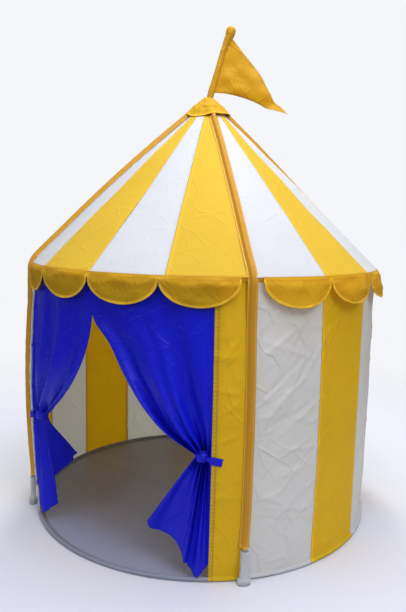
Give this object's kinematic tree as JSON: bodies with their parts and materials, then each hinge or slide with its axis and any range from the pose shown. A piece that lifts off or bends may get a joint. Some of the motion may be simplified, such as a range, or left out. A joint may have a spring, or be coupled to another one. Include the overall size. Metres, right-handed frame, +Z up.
{
  "type": "round circus play tent",
  "caption": "Child's round play tent with striped cloth walls and cone roof, scalloped valance, tied door curtains and a flag.",
  "frame": {"origin": "centre of the floor, on the ground", "axes": "+Z up, the door faces -Y, +X to the right of someone who looks in through the door"},
  "size_m": [1.0248, 1.0248, 1.4256],
  "materials": {
    "white_cloth": "thin woven polyester",
    "yellow_cloth": "thin woven polyester",
    "gold_cloth": "doubled woven polyester",
    "blue_cloth": "satin woven polyester",
    "grey_cloth": "coated woven polyester",
    "steel": "galvanised",
    "clear_plastic": "moulded, milky clear",
    "black_plastic": "moulded"
  },
  "bodies": {
    "root": {"floor_sheet": "grey_cloth", "base_hoop": "grey_cloth", "eave_hoop": "gold_cloth", "wall_right_1": "white_cloth", "wall_right_2": "yellow_cloth", "wall_right_3": "white_cloth", "wall_right_4": "yellow_cloth", "wall_back_1": "white_cloth", "wall_back_2": "yellow_cloth", "wall_back_3": "white_cloth", "wall_back_4": "yellow_cloth", "wall_left_1": "white_cloth", "wall_left_2": "yellow_cloth", "wall_left_3": "white_cloth", "wall_left_4": "yellow_cloth", "door_strip_right": "yellow_cloth", "door_strip_left": "white_cloth", "roof_gore_01": "white_cloth", "roof_gore_02": "yellow_cloth", "roof_gore_03": "white_cloth", "roof_gore_04": "yellow_cloth", "roof_gore_05": "white_cloth", "roof_gore_06": "yellow_cloth", "roof_gore_07": "white_cloth", "roof_gore_08": "yellow_cloth", "roof_gore_09": "white_cloth", "roof_gore_10": "yellow_cloth", "roof_gore_11": "white_cloth", "roof_gore_12": "yellow_cloth", "roof_gore_13": "white_cloth", "roof_gore_14": "yellow_cloth", "roof_gore_15": "white_cloth", "roof_gore_16": "yellow_cloth", "valance_front": "yellow_cloth", "valance_right": "yellow_cloth", "valance_back": "yellow_cloth", "valance_left": "yellow_cloth", "pole_front_right": "steel", "pole_back_right": "steel", "pole_back_left": "steel", "pole_front_left": "steel", "sleeve_front_right": "gold_cloth", "sleeve_back_right": "gold_cloth", "sleeve_back_left": "gold_cloth", "sleeve_front_left": "gold_cloth", "foot_front_right": "clear_plastic", "foot_back_right": "clear_plastic", "foot_back_left": "clear_plastic", "foot_front_left": "clear_plastic", "apex_hub": "black_plastic", "apex_cap": "yellow_cloth", "flag_rod": "gold_cloth", "flag": "yellow_cloth", "curtain_right": "blue_cloth", "curtain_left": "blue_cloth", "curtain_tie_right": "blue_cloth", "curtain_tie_left": "blue_cloth"}
  },
  "joints": []
}
